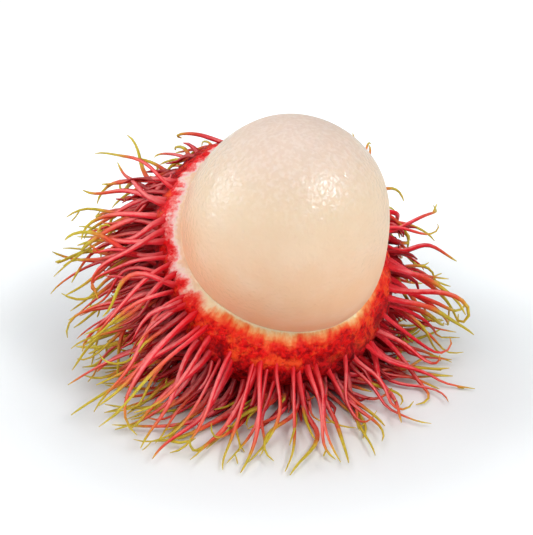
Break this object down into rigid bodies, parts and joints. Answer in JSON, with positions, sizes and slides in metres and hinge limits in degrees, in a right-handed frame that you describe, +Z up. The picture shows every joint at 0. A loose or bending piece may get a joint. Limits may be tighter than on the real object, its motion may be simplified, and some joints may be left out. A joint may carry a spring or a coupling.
{
  "type": "half-peeled rambutan",
  "caption": "Half-peeled tropical fruit: a cup of red rind covered with soft spines, holding an egg-shaped ball of pale flesh. It stands on its spines.",
  "frame": {"origin": "on the surface that the fruit stands on, under the middle of the box around it", "axes": "+Z is up; the opening of the cup leans towards -Y and a little towards +X, so the front is -Y"},
  "size_m": [0.0666, 0.0606, 0.0427],
  "materials": {
    "rind_skin": "crimson leathery skin, waxy, with soft spines that turn yellow-green at their tips and a cream cut rim",
    "flesh": "wet, translucent, cream to peach"
  },
  "bodies": {
    "root": {"rind": "rind_skin", "flesh": "flesh"}
  },
  "joints": []
}
